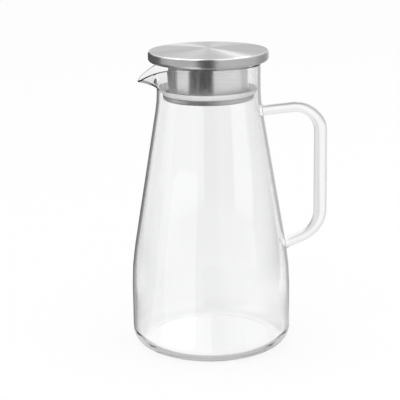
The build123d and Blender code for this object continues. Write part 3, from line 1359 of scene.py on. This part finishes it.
@dataclass(frozen=True)
class Studio:
    """The floor, the panels, the light and the camera."""

    camera_place: Place = (-208.2 * MM, -1131.0 * MM, 429.65 * MM)
    camera_heading: float = math.radians(10.0)
    camera_pitch: float = math.radians(14.73)
    camera_roll: float = math.radians(-0.8)
    lens: float = 123.1
    glass_bounces: int = 32
    floor_size: float = 12.0
    floor_drop: float = 0.3 * MM
    floor_diffuse: float = 0.15
    floor_glow: float = 0.8
    world_level: float = 1.5
    deep_walls: int = 4
    near_open: float = 0.85
    near_walls: float = 0.6
    near_through: float = 1.03
    near_end: float = 0.075
    far_start: float = 0.14
    behind_start: float = 0.12
    behind_end: float = 0.35
    sky_level: float = 1.1
    sky_share: float = 0.3
    steep_tone: float = 0.5
    steep_facing: float = 0.4
    level_facing: float = 0.7
    steep_start: float = 0.15
    steep_end: float = 0.25
    key_place: Place = (0.62, 0.87, 1.41)
    key_size: float = 0.25
    key_power: float = 1.6
    fill_place: Place = (-0.25, -1.3, 0.3)
    fill_size: float = 0.6
    fill_power: float = 12.0
    panels: tuple[Panel, ...] = (
        Panel("soft_box", -48.0, 27.0, 330.0 * MM, 260.0 * MM, 0.45, 0.65, on_floor=False),
        Panel("low_box", -37.8, 20.3, 150.0 * MM, 172.0 * MM, 1.4, 0.1),
        Panel("dark_flag", -107.0, 28.0, 320.0 * MM, 140.0 * MM, 0.04, 0.2),
    )
    panel_near: float = 85.0 * MM
    surround: Surround = Surround()

    def build_camera(self) -> None:
        """Set up the camera at the photograph's angle."""
        view = Vector((
            math.sin(self.camera_heading) * math.cos(self.camera_pitch),
            math.cos(self.camera_heading) * math.cos(self.camera_pitch),
            -math.sin(self.camera_pitch),
        ))
        data = bpy.data.cameras.new("camera")
        data.lens = self.lens
        camera = link_object("camera", data)
        turned = view.to_track_quat("-Z", "Y").to_matrix() @ Matrix.Rotation(self.camera_roll, 3, "Z")
        camera.matrix_world = Matrix.LocRotScale(Vector(self.camera_place), turned.to_quaternion(), None)
        bpy.context.scene.camera = camera

    def shown(self, graph: Graph, surround: bpy.types.NodeTree, direction: Field, shares: Shares,
              slope: Field | float) -> Field:
        """Return how bright the studio is to the ray at hand.

        Args:
            graph: The tree to add to.
            surround: The group of the studio's surround.
            direction: Where the ray ends, as seen from the object.
            shares: The shares of the surround in what lies there.
            slope: The tone for the slope at which a ray through glass arrives.

        Returns:
            White to the camera, and the surround's tones to rays by way of glass and mirrors.
        """
        tones = graph.add("ShaderNodeGroup", {"Direction": direction}, node_tree=surround)
        mirror, deep, edge, backdrop = graph.pick(tones, "Mirror", "Deep", "Edge", "Backdrop")
        path = graph.add("ShaderNodeLightPath", {})
        mirrors, walls = graph.pick(path, "Glossy Depth", "Transmission Depth")
        by_glass = walls > 0
        by_many = graph.blend(self.near_walls, deep, shares.open)
        by_few = graph.blend(self.near_walls, edge, shares.walls)
        inside = graph.blend(by_many, by_few, walls < self.deep_walls)
        reflected = graph.blend(graph.blend(self.near_open, mirror, shares.open), inside, by_glass)
        behind = graph.blend(self.near_through, backdrop, shares.behind) * slope
        through = graph.blend(1.0, behind, by_glass)
        return graph.blend(through, reflected, mirrors > 0)

    def seen(self, graph: Graph) -> Field:
        """Return one for rays from the camera, a mirror or a glass, and zero for others."""
        path = graph.add("ShaderNodeLightPath", {})
        camera, mirror, glass = graph.pick(path, "Is Camera Ray", "Is Glossy Ray", "Is Transmission Ray")
        return camera.at_least(mirror).at_least(glass)

    def lay_sheet(self, name: str, corners: Sequence[Place | Vector],
                  material: bpy.types.Material) -> bpy.types.Object:
        """Lay a flat sheet of the studio.

        Args:
            name: The sheet's name.
            corners: Its four corners in order.
            material: What it is made of.

        Returns:
            The sheet.
        """
        mesh = bpy.data.meshes.new(name)
        mesh.from_pydata(corners, [], [(0, 1, 2, 3)])
        mesh.materials.append(material)
        material.cycles.emission_sampling = "NONE"
        sheet = link_object(name, mesh)
        return sheet

    def build_floor(self, surround: bpy.types.NodeTree) -> None:
        """Lay a plain pale floor that shows white and keeps the shadow.

        Args:
            surround: The group of the studio's surround.
        """
        graph = Surface("pale_floor")
        place = graph.get("ShaderNodeTexCoord", {}, "Object")
        x, y, _ = graph.split(place)
        reach = (x.squared() + y.squared()).root()
        far = graph.ramp(reach, self.near_end, self.far_start)
        facing = graph.get("ShaderNodeLayerWeight", {}, "Facing")
        steep = graph.ramp(facing, self.steep_facing, self.level_facing, 1.0, 0.0)
        steep = steep * graph.ramp(reach, self.steep_start, self.steep_end)
        slope = graph.blend(1.0, self.steep_tone, steep)
        shares = Shares(far, far, graph.ramp(reach, self.behind_start, self.behind_end))
        level = self.shown(graph, surround, place, shares, slope)
        shade = level * self.floor_diffuse
        body = graph.get("ShaderNodeBsdfDiffuse", {"Color": graph.vector(shade, shade, shade)})
        glow = graph.get("ShaderNodeEmission", {"Strength": self.seen(graph) * level * self.floor_glow})
        material = graph.show(graph.get("ShaderNodeAddShader", {0: body, 1: glow}))
        half, drop = self.floor_size / 2, -self.floor_drop
        corners = [(-half, -half, drop), (half, -half, drop), (half, half, drop), (-half, half, drop)]
        self.lay_sheet("floor", corners, material)

    def build_panel(self, panel: Panel) -> None:
        """Stand a panel at the side, with what it may cast on the floor.

        Args:
            panel: The panel.
        """
        graph = Surface(panel.name)
        x, y, _ = graph.split(graph.get("ShaderNodeTexCoord", {}, "Object"))
        heading = math.radians(self.surround.camera_side + panel.heading)
        spread = math.radians(panel.half_spread)
        middle = Vector((math.cos(heading), math.sin(heading), 0))
        across = Vector((-middle.y, middle.x, 0))
        turn = (x * across.x + y * across.y).math("ARCTAN2", x * middle.x + y * middle.y)
        lit = graph.ramp(turn, -spread, -spread * (1 - panel.fade))
        glow = graph.get("ShaderNodeEmission", {"Strength": panel.tone})
        clear = graph.get("ShaderNodeBsdfTransparent", {})
        material = graph.show(graph.get("ShaderNodeMixShader", {0: lit, 1: clear, 2: glow}))
        ends = [middle - across * math.tan(spread), middle + across * math.tan(spread)]
        far, near = ([end * reach for end in ends] for reach in (panel.distance, self.panel_near))
        top = Vector((0, 0, panel.height))
        sheets = {panel.name: [*far, far[1] + top, far[0] + top]}
        if panel.on_floor:
            sheets[panel.name + "_foot"] = [*near, *reversed(far)]
        for name, corners in sheets.items():
            sheet = self.lay_sheet(name, corners, material)
            sheet.visible_camera = False
            sheet.visible_diffuse = False
            sheet.visible_transmission = False
            sheet.visible_shadow = False

    def build_light(self, surround: bpy.types.NodeTree) -> None:
        """Light the object from all round, with a key lamp behind it and a fill lamp near the camera.

        Args:
            surround: The group of the studio's surround.
        """
        world = bpy.data.worlds.new("studio")
        world.use_nodes = True
        graph = Graph(world.node_tree)
        graph.tree.nodes.clear()
        ahead = graph.get("ShaderNodeTexCoord", {}, "Generated")
        direct = self.seen(graph) * (graph.get("ShaderNodeLightPath", {}, "Diffuse Depth") < 1)
        shares = Shares(1.0, self.sky_share, self.sky_share)
        shown = self.shown(graph, surround, ahead, shares, 1.0) * self.sky_level
        level = graph.blend(self.world_level, shown, direct)
        sky = graph.get("ShaderNodeBackground", {"Strength": level})
        graph.add("ShaderNodeOutputWorld", {"Surface": sky})
        bpy.context.scene.world = world
        key = self.hang_lamp("key", self.key_place, self.key_size, self.key_power)
        key.visible_transmission = False
        fill = self.hang_lamp("fill", self.fill_place, self.fill_size, self.fill_power)
        fill.visible_glossy = False
        fill.visible_transmission = False

    def hang_lamp(self, name: str, place: Place, size: float, power: float) -> bpy.types.Object:
        """Hang a square lamp that faces the lid.

        Args:
            name: The lamp's name.
            place: Where it hangs.
            size: Its width.
            power: Its power in watts.

        Returns:
            The lamp.
        """
        lamp = bpy.data.lights.new(name, "AREA")
        lamp.shape = "SQUARE"
        lamp.size = size
        lamp.energy = power
        hung = link_object(name, lamp)
        aim = (Vector((0, 0, CAD_BOX[1].z)) - Vector(place)).to_track_quat("-Z", "Y")
        hung.matrix_world = Matrix.LocRotScale(Vector(place), aim, None)
        return hung

    def build(self) -> None:
        """Build the camera, the floor, the panels and the light."""
        bpy.context.scene.view_settings.view_transform = "Standard"
        surround = self.surround.build()
        self.build_camera()
        self.build_floor(surround)
        for panel in self.panels:
            self.build_panel(panel)
        self.build_light(surround)
        cycles = bpy.context.scene.cycles
        cycles.max_bounces = cycles.glossy_bounces = cycles.transmission_bounces = self.glass_bounces
        log.info("studio ready")


def main() -> None:
    """Build the pitcher and its studio, piece by piece."""
    logging.basicConfig(level=logging.INFO, format="%(name)s: %(message)s")
    turner = Turner(build_lathe())
    unevenness, brush_lines = build_unevenness(), build_brush_lines()
    GlassJug().build(turner, unevenness)
    SteelLid().build(turner, brush_lines)
    SealRing().build(turner, unevenness)
    Studio().build()


if __name__ == "__main__":
    main()
